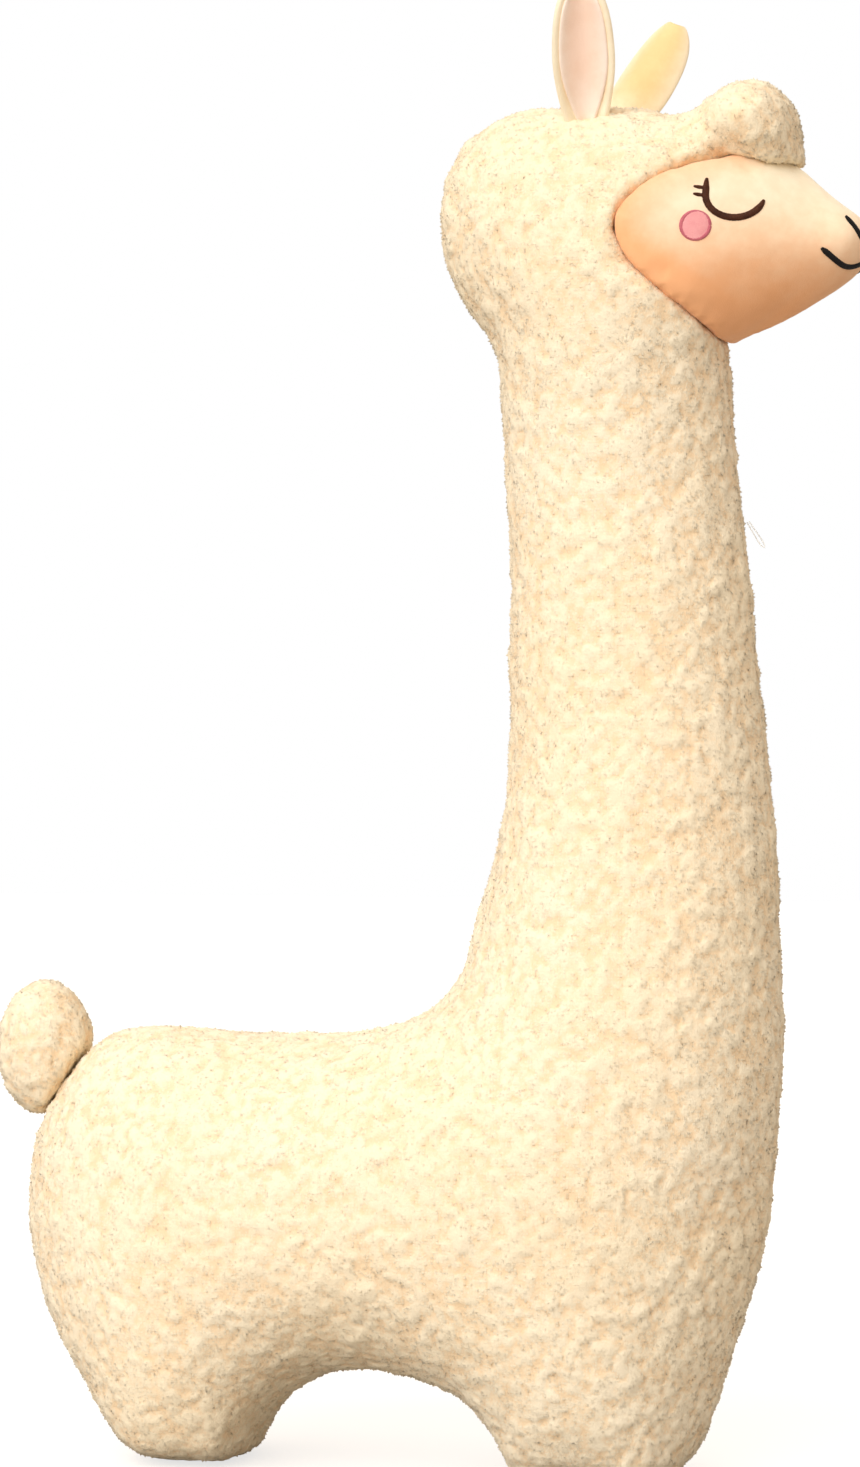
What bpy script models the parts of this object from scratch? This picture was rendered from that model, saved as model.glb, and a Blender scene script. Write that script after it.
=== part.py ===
"""Stuffed plush alpaca that stands on two padded soles and faces +X.

Each stuffed piece is drawn as the toy maker draws it: a side outline, cut twice, sewn along its edge and
filled. The filling is a stretched-membrane height over the outline, so a wide panel swells more than a
narrow one. Along the belly, soles and muzzle a strip is let in between the two panels, and its half width
travels with the outline.

Lengths are in metres. While the pieces are made, x is measured from the front of the chest and z from the
floor. The last step moves the toy so that the origin is on the floor under the middle of its box.
"""
import math
from collections import namedtuple

import bmesh
import bpy
import numpy as np
from mathutils import Matrix, Vector
from mathutils.bvhtree import BVHTree
from mathutils.geometry import delaunay_2d_cdt, interpolate_bezier

# torso
BODY_LENGTH = 0.3955         # rump to chest
BACK_HEIGHT = 0.2235         # floor to hips
SADDLE_DIP = 0.003           # the back between hips and neck lies this much lower
RUMP_CORNER = 0.0195         # how far in from the rump its rounded upper corner lies
CHEST_HEIGHT = 0.235         # where the chest stands furthest forward
BELLY_HEIGHT = 0.048         # floor to the top of the arch between the legs
PANEL_FULLNESS = 0.82        # depth of the filled torso and neck against a round one
LEG_FULLNESS = 0.70          # how much fuller the legs are at the floor

# legs
HIND_SOLE_LENGTH = 0.035
FRONT_SOLE_LENGTH = 0.062
LEG_HEIGHT = 0.085           # where that has faded out
LEG_ROUND = 0.013            # rounding of the legs where they meet their soles
HIND_HEEL_INSET = 0.079      # rump to the back of the hind sole
FRONT_TOE_INSET = 0.068      # chest to the front of the front sole
SOLE_HALF_WIDTH = 0.047
BELLY_CROWN = 0.012          # how far the belly strip swells past its seams
SOLE_PRESS = 0.003           # how much of that the toy's weight presses flat
SHIN_SETBACK = 0.030         # chest to the front leg just above its sole
SHIN_HEIGHT = 0.046
HOCK_INSET = 0.028           # rump to the back of the hind leg
HOCK_HEIGHT = 0.046

# neck
NECK_ROOT_DEPTH = 0.1535     # front to back where the neck leaves the torso
NECK_ROOT_RISE = 0.066       # that height above the hips
NECK_CREASE_DEPTH = 0.1765   # chest to the hollow between neck and back
NECK_CREASE_RISE = 0.0125    # that hollow above the hips
NECK_DEPTH = 0.1170          # front to back under the head
NECK_WAIST = 0.0045          # the neck's back draws in this much half way up
THROAT_HEIGHT = 0.564
THROAT_SETBACK = 0.0275      # chest to throat

# head; its heights build on one another from the throat up
NAPE_HEIGHT = THROAT_HEIGHT - 0.003
HEAD_BACK_SWELL = 0.0325     # the back of the head behind the nape
MUZZLE_RISE = 0.050          # throat to the middle of the muzzle
MUZZLE_HEIGHT = THROAT_HEIGHT + MUZZLE_RISE
MUZZLE_REACH = 0.0440        # chest to nose tip
MUZZLE_HALF_WIDTH = 0.023
MUZZLE_CROWN = 0.010
BRIDGE_RISE = 0.045          # middle of the muzzle to the brow
BROW_HEIGHT = MUZZLE_HEIGHT + BRIDGE_RISE
BROW_SETBACK = 0.004
CROWN_RISE = 0.026           # brow to the highest point of the crown
CROWN_HEIGHT = BROW_HEIGHT + CROWN_RISE
CROWN_SETBACK = 0.0955       # chest to that point
HEAD_BACK_HEIGHT = MUZZLE_HEIGHT + 0.36 * BRIDGE_RISE
HEAD_FULLNESS = 0.93
FACE_STEP = 0.0025           # how far the fleece stands out past the short-pile face at its widest

# where the face is sewn to the fleece, seen from the side
SEAM_CORNER_SETBACK = 0.0755
SEAM_CORNER_HEIGHT = MUZZLE_HEIGHT + 0.21 * BRIDGE_RISE
SEAM_BROW_SETBACK = 0.020
SEAM_BROW_HEIGHT = MUZZLE_HEIGHT + 0.89 * BRIDGE_RISE

# forelock
FORELOCK_LENGTH = 0.055
FORELOCK_HEIGHT = 0.047
FORELOCK_HALF_WIDTH = 0.041
FORELOCK_SETBACK = 0.0190    # chest to the middle of the forelock
FORELOCK_RISE = 0.0135       # middle of the forelock above the brow
FORELOCK_LIP = 0.012         # how far its front corner hangs down

# tail
TAIL_LENGTH = 0.072
TAIL_WIDTH = 0.050
TAIL_THICKNESS = 0.054
TAIL_LEAN = 3.0              # degrees forward of upright
TAIL_SETBACK = 0.0080        # rump to the middle of the tail
TAIL_DROP = 0.0150           # hips to the middle of the tail

# ears
EAR_LENGTH = 0.070
EAR_HALF_WIDTH = 0.0160
EAR_CUP = 0.008              # how deep the ear is folded round its long axis
EAR_THICKNESS = 0.0035
LINING_THICKNESS = 0.0018
EAR_SPREAD = 0.024           # middle plane to the root of an ear
EAR_SPLAY = 20.0             # degrees outwards
EAR_TURN = 14.0              # degrees that the hollow faces forwards of straight out
EAR_SETBACK = 0.0950         # chest to the root
EAR_SINK = 0.012             # length of ear inside the head
RIGHT_EAR_LEAN = 2.0         # degrees forwards: a soft ear stands as it was last bent
LEFT_EAR_LEAN = 26.0

# stitched features, measured on the face seen from the side
STITCH_WIDTH = 0.0030
STITCH_RISE = 0.0011
STITCH_ROOT = 0.0012         # how far a stitch is drawn into the face before it is trimmed
EYE_HALF_WIDTH = 0.0135
EYE_DROP = 0.0185
EYE_SETBACK = 0.0175         # chest to the middle of the eye
EYE_HEIGHT = MUZZLE_HEIGHT + 0.17 * BRIDGE_RISE    # lowest point of the closed lid
LASH_LENGTH = 0.0062
LASH_SPACING = 0.0052
CHEEK_RADIUS = 0.0078
CHEEK_SETBACK = 0.0370
CHEEK_HEIGHT = MUZZLE_HEIGHT + 0.08 * BRIDGE_RISE
NOSE_RISE = 0.0095           # muzzle's middle to the top of the nose lines
NOSE_DROP = 0.0060           # muzzle's middle to where they meet
NOSE_SPREAD = 38.0           # degrees round the muzzle from the middle to the top of a nose line
MOUTH_CORNER_DROP = 0.0073   # muzzle's middle to the mouth's corner
MOUTH_DEPTH = 0.0068         # how far each half of the mouth sags
MOUTH_GAP = 0.0048           # where the nose lines meet to the middle of the mouth
MOUTH_REACH = 62.0           # degrees round the muzzle from the middle to a corner

# swing-tag loop left in the front seam of the neck
LOOP_DROP = 0.088            # throat to where the loop comes out
LOOP_LENGTH = 0.0155
LOOP_HALF_GAP = 0.0016
LOOP_THREAD_RADIUS = 0.0003

GAP = 0.0003                 # clearance between pieces that are sewn together

# spacing of the corner points
BODY_GRID = 0.0155
FACE_GRID = 0.0088
PUFF_GRID = 0.0094

CREAM_FLEECE = (0.93, 0.80, 0.62, 1.0)
PEACH_VELOUR = (0.93, 0.70, 0.49, 1.0)
PINK_LINING = (0.93, 0.68, 0.56, 1.0)
PINK_THREAD = (0.87, 0.36, 0.42, 1.0)
BROWN_THREAD = (0.06, 0.022, 0.012, 1.0)
BLACK_THREAD = (0.012, 0.009, 0.009, 1.0)
CLEAR_NYLON = (0.75, 0.73, 0.70, 1.0)

# x and z on the side view, heading in degrees (0 forwards, 90 up), half width of the strip let in there,
# and how far that strip swells past its two seams
Anchor = namedtuple("Anchor", "x z heading strip swell leave", defaults=(0.0, 0.0, None))


def clear_scene():
    for obj in list(bpy.data.objects):
        bpy.data.objects.remove(obj, do_unlink=True)


def material(name, colour, roughness):
    made = bpy.data.materials.new(name)
    made.use_nodes = True
    shader = made.node_tree.nodes["Principled BSDF"]
    shader.inputs["Base Color"].default_value = colour
    shader.inputs["Roughness"].default_value = roughness
    made.diffuse_color = colour
    return made


def heading(degrees):
    angle = math.radians(degrees)
    return Vector((math.cos(angle), math.sin(angle)))


def drawn_loop(anchors, step, closed=True):
    """Points about one step apart on the smooth line through the anchors, as rows of x, z, strip, swell."""
    rows = []
    last = len(anchors) if closed else len(anchors) - 1
    for index in range(last):
        a = anchors[index]
        b = anchors[(index + 1) % len(anchors)]
        start, end = Vector((a.x, a.z)), Vector((b.x, b.z))
        handle = 0.37 * (end - start).length
        leaving = a.heading if a.leave is None else a.leave
        first = start + handle * heading(leaving)
        second = end - handle * heading(b.heading)
        fine = interpolate_bezier(start, first, second, end, 33)
        length = sum((q - p).length for p, q in zip(fine, fine[1:]))
        count = max(2, round(length / step))
        for p in interpolate_bezier(start, first, second, end, count + 1)[:-1]:
            share = min(1.0, (p - start).length / (end - start).length)
            ease = share * share * (3 - 2 * share)
            rows.append((p.x, p.y, a.strip + ease * (b.strip - a.strip), a.swell + ease * (b.swell - a.swell)))
    if not closed:
        tip = anchors[-1]
        rows.append((tip.x, tip.z, tip.strip, tip.swell))
    return np.array(rows)


def outward_normals(loop):
    along = np.roll(loop, -1, axis=0) - np.roll(loop, 1, axis=0)
    along /= np.linalg.norm(along, axis=1)[:, None]
    return np.stack([along[:, 1], -along[:, 0]], axis=1)


def edge_distance(points, loop):
    ends = np.roll(loop, -1, axis=0)
    side = ends - loop
    offset = points[:, None] - loop[None]
    share = np.clip((offset * side).sum(2) / (side ** 2).sum(1), 0.0, 1.0)
    return np.linalg.norm(offset - share[..., None] * side, axis=2).min(axis=1)


def is_inside(points, loop):
    ends = np.roll(loop, -1, axis=0)
    crosses = (loop[None, :, 1] > points[:, None, 1]) != (ends[None, :, 1] > points[:, None, 1])
    rise = ends[:, 1] - loop[:, 1]
    rise = np.where(np.abs(rise) < 1e-12, 1e-12, rise)
    at = loop[:, 0] + (points[:, 1, None] - loop[:, 1]) * (ends[:, 0] - loop[:, 0]) / rise
    return (crosses & (points[:, 0, None] < at)).sum(axis=1) % 2 == 1


def panel_points(loop, spacing, rings):
    """Points to fill a panel with: rows that follow the edge closely, then a triangular grid."""
    normals = outward_normals(loop)
    chosen = []
    for depth in rings:
        row = loop - normals * depth
        near = edge_distance(row, loop)
        row = row[is_inside(row, loop) & (near > 0.93 * depth)]
        chosen.append(row)
    low, high = loop.min(axis=0), loop.max(axis=0)
    rows = np.arange(low[1], high[1], spacing * math.sqrt(3) / 2)
    grid = []
    for index, z in enumerate(rows):
        columns = np.arange(low[0] + spacing / 2 * (index % 2), high[0], spacing)
        grid.append(np.stack([columns, np.full(len(columns), z)], axis=1))
    grid = np.concatenate(grid)
    clear = rings[-1] + 0.55 * spacing if rings else 0.6 * spacing
    grid = grid[is_inside(grid, loop)]
    chosen.append(grid[edge_distance(grid, loop) > clear])
    points = np.concatenate(chosen)
    kept = []
    for point in points:
        if not kept or min(np.hypot(*(np.array(kept) - point).T)) > 0.38 * spacing:
            kept.append(point)
    return np.array(kept)


def panel_mesh(loop, spacing, rings):
    """Corner positions and triangles of one flat panel. The edge's points come first, in their order."""
    points = np.concatenate([loop, panel_points(loop, spacing, rings)])
    edge = list(range(len(loop)))
    flat = [Vector(p) for p in points]
    corners, _, faces, sources, _, _ = delaunay_2d_cdt(flat, [], [edge], 1, 1e-7, True)
    place = {}
    for index, came_from in enumerate(sources):
        for source in came_from:
            place[source] = index
    order = [place[index] for index in edge]
    rest = [index for index in range(len(corners)) if index not in set(order)]
    new = {old: index for index, old in enumerate(order + rest)}
    corners = np.array([corners[index] for index in order + rest])
    faces = np.array([[new[index] for index in face] for face in faces])
    return corners, faces[is_inside(corners[faces].mean(axis=1), loop)]


def filled_depth(corners, faces, edge_depth, fullness):
    """Half depth of the filling at each corner: the membrane that the panel's edge holds and the filling lifts."""
    a, b, c = (corners[faces[:, i]] for i in range(3))
    area = np.abs((b[:, 0] - a[:, 0]) * (c[:, 1] - a[:, 1]) - (c[:, 0] - a[:, 0]) * (b[:, 1] - a[:, 1])) / 2
    stiffness = np.zeros((len(corners), len(corners)))
    lift = np.zeros(len(corners))
    push = fullness[faces].mean(axis=1) ** 2 * 2
    opposite = (c - b, a - c, b - a)
    for i in range(3):
        np.add.at(lift, faces[:, i], push * area / 3)
        for j in range(3):
            dot = (opposite[i] * opposite[j]).sum(axis=1) / (4 * area)
            np.add.at(stiffness, (faces[:, i], faces[:, j]), dot)
    rim = len(edge_depth)
    squared = np.zeros(len(corners))
    squared[:rim] = edge_depth ** 2
    load = lift[rim:] - stiffness[rim:, :rim] @ squared[:rim]
    squared[rim:] = np.linalg.solve(stiffness[rim:, rim:], load)
    return np.sqrt(np.maximum(squared, 0.0))


def stuffed(name, anchors, spacing, fullness, strip_columns=8):
    """One closed mesh: two panels of the drawn outline, filled, with the strip between them where it has one."""
    rows = drawn_loop(anchors, 0.68 * spacing)
    contour = rows[:, :2]
    strip = np.where(rows[:, 2] > 0.0015, rows[:, 2], 0.0)
    swell = np.where(strip > 0, rows[:, 3], 0.0)
    normals = outward_normals(contour)
    seam = contour - normals * swell[:, None]
    corners, faces = panel_mesh(seam, spacing, (0.2 * spacing, 0.72 * spacing))
    full = fullness(corners) if callable(fullness) else np.full(len(corners), fullness)
    depth = filled_depth(corners, faces, strip, full)
    rim = len(seam)

    mesh = bmesh.new()
    left = [mesh.verts.new((x, y, z)) for (x, z), y in zip(corners, depth)]
    right = []
    for index, ((x, z), y) in enumerate(zip(corners, depth)):
        sewn = index < rim and strip[index] == 0
        right.append(left[index] if sewn else mesh.verts.new((x, -y, z)))
    for i, j, k in faces:
        if left[i] is right[i] and left[j] is right[j] and left[k] is right[k]:
            continue
        mesh.faces.new((left[i], left[j], left[k]))
        mesh.faces.new((right[i], right[k], right[j]))

    columns = []
    for index in range(rim):
        if strip[index] == 0:
            columns.append([left[index]] * (strip_columns + 1))
            continue
        column = [left[index]]
        for step in range(1, strip_columns):
            share = 1 - 2 * step / strip_columns
            out = swell[index] * (1 - share * share)
            x, z = seam[index] + normals[index] * out
            column.append(mesh.verts.new((x, share * strip[index], max(z, 0.0))))
        column.append(right[index])
        columns.append(column)
    for index in range(rim):
        here, there = columns[index], columns[(index + 1) % rim]
        for step in range(strip_columns):
            corners_of = [here[step], here[step + 1], there[step + 1], there[step]]
            face = [v for n, v in enumerate(corners_of) if v not in corners_of[:n]]
            if len(face) > 2:
                mesh.faces.new(face)
    bmesh.ops.recalc_face_normals(mesh, faces=mesh.faces)
    return new_object(name, mesh)


def new_object(name, mesh):
    data = bpy.data.meshes.new(name)
    mesh.to_mesh(data)
    mesh.free()
    obj = bpy.data.objects.new(name, data)
    bpy.context.scene.collection.objects.link(obj)
    return obj


def grown(obj, distance):
    """A copy of the piece, this much larger all round, to cut its neighbour with."""
    mesh = bmesh.new()
    mesh.from_mesh(obj.data)
    bmesh.ops.remove_doubles(mesh, verts=mesh.verts, dist=0.0006)
    bmesh.ops.triangulate(mesh, faces=mesh.faces)
    mesh.normal_update()
    moved = [v.co + v.normal * distance * min(1.5, v.calc_shell_factor()) for v in mesh.verts]
    for vertex, place in zip(mesh.verts, moved):
        vertex.co = place
    return new_object(obj.name + "_grown", mesh)


def combine(target, tool, operation):
    """Cuts, joins or trims the target with the tool and takes the tool away."""
    boolean = target.modifiers.new(operation.lower(), "BOOLEAN")
    boolean.operation = operation
    boolean.object = tool
    boolean.solver = "EXACT"
    bpy.context.view_layer.update()
    result = bpy.data.meshes.new_from_object(target.evaluated_get(bpy.context.evaluated_depsgraph_get()))
    target.modifiers.clear()
    target.data = result
    bpy.data.objects.remove(tool, do_unlink=True)


def head_anchors():
    """The head's outline from throat to nape, by way of the nose and the crown."""
    head_back = -THROAT_SETBACK - NECK_DEPTH - HEAD_BACK_SWELL
    return [
        Anchor(-THROAT_SETBACK, THROAT_HEIGHT, 94, leave=12),
        Anchor(MUZZLE_REACH - 0.30 * (MUZZLE_REACH + THROAT_SETBACK), MUZZLE_HEIGHT - 0.55 * (MUZZLE_HEIGHT - THROAT_HEIGHT),
               29, MUZZLE_HALF_WIDTH * 0.8, MUZZLE_CROWN * 0.8),
        Anchor(MUZZLE_REACH, MUZZLE_HEIGHT, 92, MUZZLE_HALF_WIDTH, MUZZLE_CROWN),
        Anchor(MUZZLE_REACH * 0.55, MUZZLE_HEIGHT + 0.5 * (BROW_HEIGHT - MUZZLE_HEIGHT), 138, MUZZLE_HALF_WIDTH * 0.8, MUZZLE_CROWN * 0.8),
        Anchor(-BROW_SETBACK, BROW_HEIGHT, 150),
        Anchor(-CROWN_SETBACK, CROWN_HEIGHT, 180),
        Anchor(head_back + 0.25 * (-CROWN_SETBACK - head_back), CROWN_HEIGHT - 0.21 * (CROWN_HEIGHT - HEAD_BACK_HEIGHT), 218),
        Anchor(head_back, HEAD_BACK_HEIGHT, 270),
        Anchor(-THROAT_SETBACK - NECK_DEPTH, NAPE_HEIGHT, 312, leave=272),
    ]


def fleece_anchors():
    """The whole side outline, anticlockwise from the back of the hind sole."""
    rump = -BODY_LENGTH
    heel = rump + HIND_HEEL_INSET
    toe = heel + HIND_SOLE_LENGTH
    front_toe = -FRONT_TOE_INSET
    front_heel = front_toe - FRONT_SOLE_LENGTH
    arch = (toe + front_heel) / 2 - 0.04 * (front_heel - toe)
    nape = -THROAT_SETBACK - NECK_DEPTH
    root = BACK_HEIGHT + NECK_ROOT_RISE
    wide = SOLE_HALF_WIDTH
    legs = [
        Anchor(heel, -SOLE_PRESS, 0, wide, BELLY_CROWN),
        Anchor(toe, -SOLE_PRESS, 0, wide, BELLY_CROWN),
        Anchor(toe + LEG_ROUND, LEG_ROUND * 1.25, 62, wide, BELLY_CROWN * 0.8),
        Anchor(arch, BELLY_HEIGHT, 0, wide * 0.92, BELLY_CROWN),
        Anchor(front_heel - LEG_ROUND, LEG_ROUND * 1.25, 298, wide, BELLY_CROWN * 0.8),
        Anchor(front_heel, -SOLE_PRESS, 0, wide, BELLY_CROWN),
        Anchor(front_toe, -SOLE_PRESS, 0, wide, BELLY_CROWN),
        Anchor(-SHIN_SETBACK, SHIN_HEIGHT, 70, wide * 0.45, BELLY_CROWN * 0.6),
        Anchor(0.0, CHEST_HEIGHT, 91),
    ]
    back = [
        Anchor(nape + NECK_WAIST, (NAPE_HEIGHT + root) / 2, 270),
        Anchor(-NECK_ROOT_DEPTH, root, 251),
        Anchor(-NECK_CREASE_DEPTH, BACK_HEIGHT + NECK_CREASE_RISE, 214),
        Anchor((rump - NECK_CREASE_DEPTH) / 2, BACK_HEIGHT - SADDLE_DIP, 180),
        Anchor(rump + RUMP_CORNER * 2.6, BACK_HEIGHT - RUMP_CORNER * 0.16, 190),
        Anchor(rump + RUMP_CORNER, BACK_HEIGHT - RUMP_CORNER * 1.55, 232),
        Anchor(rump, BACK_HEIGHT * 0.56, 270),
        Anchor(rump + HOCK_INSET, HOCK_HEIGHT, 304, wide * 0.6, BELLY_CROWN * 0.5),
    ]
    return legs + head_anchors() + back


def seam_line():
    """The face's edge seen from the side: up from the throat to its rear corner, then forwards to the brow."""
    throat = Anchor(-THROAT_SETBACK - 0.001, THROAT_HEIGHT - 0.001, 124)
    corner = Anchor(-SEAM_CORNER_SETBACK, SEAM_CORNER_HEIGHT, 88, leave=62)
    brow = Anchor(-SEAM_BROW_SETBACK, SEAM_BROW_HEIGHT, 8, leave=70)
    clear = Anchor(-SEAM_BROW_SETBACK / 2, CROWN_HEIGHT + CROWN_RISE, 70)
    return drawn_loop([throat, corner, brow, clear], 0.7 * FACE_GRID, closed=False)[:, :2]


def face_zone(name, inset):
    """A block that takes in the face as far as its seam, drawn in from the seam by inset."""
    line = seam_line()
    along = np.gradient(line, axis=0)
    along /= np.linalg.norm(along, axis=1)[:, None]
    line = line + np.stack([along[:, 1], -along[:, 0]], axis=1) * inset
    line[0, 1] += min(0.0, inset)
    beyond = 2 * MUZZLE_REACH
    outline = [tuple(p) for p in line] + [(beyond, line[-1, 1]), (beyond, line[0, 1])]
    mesh = bmesh.new()
    near = [mesh.verts.new((x, -NECK_DEPTH, z)) for x, z in outline]
    mesh.faces.new(near)
    made = bmesh.ops.extrude_face_region(mesh, geom=list(mesh.faces))
    moved = [v for v in made["geom"] if isinstance(v, bmesh.types.BMVert)]
    bmesh.ops.translate(mesh, verts=moved, vec=(0, 2 * NECK_DEPTH, 0))
    bmesh.ops.recalc_face_normals(mesh, faces=mesh.faces)
    return new_object(name, mesh)


def make_body():
    """Torso, legs, neck and hood: the fleece panels, with the face's place cut out."""
    def fullness(corners):
        share = np.clip((corners[:, 1] - THROAT_HEIGHT) / (CROWN_HEIGHT - THROAT_HEIGHT) * 2 + 0.5, 0.0, 1.0)
        low = np.clip(1 - corners[:, 1] / LEG_HEIGHT, 0.0, 1.0)
        return PANEL_FULLNESS + (HEAD_FULLNESS - PANEL_FULLNESS) * share + LEG_FULLNESS * low

    body = stuffed("body", fleece_anchors(), BODY_GRID, fullness)
    combine(body, face_zone("face_place", -GAP), "DIFFERENCE")
    return body


def make_face():
    """The short-pile face: the head's form again, closed off across the neck and kept in front of the seam."""
    head = head_anchors()
    low, half = THROAT_HEIGHT - 0.3 * NECK_DEPTH, 0.4 * NECK_DEPTH
    neck = [Anchor(head[-1].x, low, 0, half), Anchor(head[0].x, low, 0, half, leave=90)]
    face = stuffed("face", head + neck, FACE_GRID, HEAD_FULLNESS)
    combine(face, face_zone("face_zone", 0.0), "INTERSECT")
    widest = max(vertex.co.y for vertex in face.data.vertices)
    for vertex in face.data.vertices:
        vertex.co.y *= 1 - FACE_STEP / widest
    return face


def make_forelock(body, face):
    """A separately stuffed puff that sits on the brow and hangs over it."""
    x, z = -FORELOCK_SETBACK, BROW_HEIGHT + FORELOCK_RISE
    long, high = FORELOCK_LENGTH / 2, FORELOCK_HEIGHT / 2
    anchors = [
        Anchor(x + long * 0.86, z - high - FORELOCK_LIP * 0.35, 20),
        Anchor(x + long, z + high * 0.05, 92),
        Anchor(x + long * 0.10, z + high, 180),
        Anchor(x - long, z - high * 0.25, 262),
        Anchor(x - long * 0.35, z - high * 0.95, 350),
    ]
    fullness = FORELOCK_HALF_WIDTH * math.hypot(long, high) / (long * high)
    forelock = stuffed("forelock", anchors, PUFF_GRID, fullness)
    combine(forelock, grown(body, GAP), "DIFFERENCE")
    combine(forelock, grown(face, GAP), "DIFFERENCE")
    return forelock


def make_tail(body):
    """An egg-shaped tail sewn on over the corner of the rump."""
    x, z = -BODY_LENGTH + TAIL_SETBACK, BACK_HEIGHT - TAIL_DROP
    long, wide = TAIL_LENGTH / 2, TAIL_WIDTH / 2
    anchors = [
        Anchor(0.06 * wide, -long, 0),
        Anchor(wide, 0.10 * long, 90),
        Anchor(-0.10 * wide, long, 180),
        Anchor(-wide, 0.05 * long, 270),
    ]
    turn = Matrix.Rotation(math.radians(-TAIL_LEAN), 2)
    placed = []
    for a in anchors:
        spot = turn @ Vector((a.x, a.z))
        placed.append(Anchor(x + spot.x, z + spot.y, a.heading - TAIL_LEAN))
    fullness = TAIL_THICKNESS / 2 * math.hypot(long, wide) / (long * wide)
    tail = stuffed("tail", placed, PUFF_GRID, fullness)
    combine(tail, grown(body, GAP), "DIFFERENCE")
    return tail


def ear_sheet(name, half_width, length, thickness, lift):
    """A cupped leaf along +Z from its root, hollow towards -Y, its back raised by lift and thickened backwards."""
    across, along = 8, 11
    mesh = bmesh.new()
    tip = mesh.verts.new((0, lift - EAR_CUP * 0.1 + thickness / 2, length))

    def layer(offset):
        grid = []
        for row in range(along):
            share = row / along
            width = half_width * (0.55 + 0.45 * math.sin(math.pi / 2 * min(1.0, share / 0.52)))
            width *= (1 - share ** 5) ** 0.5
            line = []
            for column in range(across + 1):
                t = 2 * column / across - 1
                fold = EAR_CUP * t * t * width / half_width
                line.append(mesh.verts.new((t * width, offset - fold, share * length)))
            grid.append(line)
        return grid

    front, back = layer(lift), layer(lift + thickness)
    for row in range(along - 1):
        for column in range(across):
            for grid in (front, back):
                mesh.faces.new((grid[row][column], grid[row][column + 1], grid[row + 1][column + 1], grid[row + 1][column]))
        for column in (0, across):
            mesh.faces.new((front[row][column], back[row][column], back[row + 1][column], front[row + 1][column]))
    for column in range(across):
        mesh.faces.new((front[0][column], front[0][column + 1], back[0][column + 1], back[0][column]))
        for grid in (front, back):
            mesh.faces.new((grid[-1][column], grid[-1][column + 1], tip))
    for column in (0, across):
        mesh.faces.new((front[-1][column], back[-1][column], tip))
    bmesh.ops.recalc_face_normals(mesh, faces=mesh.faces)
    return new_object(name, mesh)


def make_ear(side, y_sign, lean, body):
    """One ear: a velour back and a pink lining in its hollow, both standing out of the crown."""
    root = Matrix.Translation((-EAR_SETBACK, y_sign * EAR_SPREAD, CROWN_HEIGHT - EAR_SINK))
    place = root @ Matrix.Rotation(math.radians(lean), 4, "Y") \
        @ Matrix.Rotation(math.radians(-y_sign * EAR_SPLAY), 4, "X") \
        @ Matrix.Rotation(math.radians(EAR_TURN if y_sign < 0 else 180 - EAR_TURN), 4, "Z")
    back = ear_sheet(f"{side}_ear", EAR_HALF_WIDTH, EAR_LENGTH, EAR_THICKNESS, 0.0)
    lining = ear_sheet(f"{side}_ear_lining", EAR_HALF_WIDTH * 0.80, EAR_LENGTH * 0.94, LINING_THICKNESS,
                       -LINING_THICKNESS - GAP * 3)
    for piece in (back, lining):
        piece.data.transform(place)
        combine(piece, grown(body, GAP), "DIFFERENCE")
    return back, lining


class Skin:
    """The outside of a piece, to lay stitching on."""

    def __init__(self, obj):
        self.obj = obj
        mesh = bmesh.new()
        mesh.from_mesh(obj.data)
        self.tree = BVHTree.FromBMesh(mesh)
        mesh.free()

    def hit(self, start, direction):
        """Where the ray meets the piece, and the surface's direction there, facing back along the ray."""
        place, normal, _, _ = self.tree.ray_cast(start, direction)
        return place, -normal if normal.dot(direction) > 0 else normal

    def from_side(self, x, z, y_sign):
        return self.hit(Vector((x, y_sign * 0.2, z)), Vector((0, -y_sign, 0)))

    def from_front(self, centre, turn, z):
        """The same from the front, turned by so many degrees round an upright axis at x = centre."""
        out = Vector((math.cos(math.radians(turn)), math.sin(math.radians(turn)), 0))
        return self.hit(Vector((centre, 0, z)) + out * 0.2, -out)

    def seat(self, piece):
        """Trims the piece's underside to lie on the surface with the usual clearance."""
        combine(piece, grown(self.obj, GAP), "DIFFERENCE")
        return piece


def stitched_line(name, path, width):
    """A satin-stitch ridge along (place, normal) pairs, narrower at both ends, with its underside in the face."""
    mesh = bmesh.new()
    sides = 5
    rings = []
    for index, (place, normal) in enumerate(path):
        before, after = path[max(0, index - 1)][0], path[min(len(path) - 1, index + 1)][0]
        across = normal.cross(after - before).normalized()
        end = index in (0, len(path) - 1)
        half = width / 2 * (0.45 if end else 1)
        rise = STITCH_RISE * (0.7 if end else 1)
        ring = [mesh.verts.new(place - normal * STITCH_ROOT + across * half * side) for side in (1, -1)]
        for step in range(sides + 1):
            angle = math.pi * (1 - step / sides)
            height = GAP + rise * (0.35 + 0.65 * math.sin(angle))
            ring.append(mesh.verts.new(place + normal * height + across * half * math.cos(angle)))
        rings.append(ring)
    count = sides + 3
    for one, two in zip(rings, rings[1:]):
        for step in range(count):
            mesh.faces.new((one[step], one[(step + 1) % count], two[(step + 1) % count], two[step]))
    mesh.faces.new(rings[0])
    mesh.faces.new(rings[-1])
    bmesh.ops.recalc_face_normals(mesh, faces=mesh.faces)
    return new_object(name, mesh)


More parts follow.
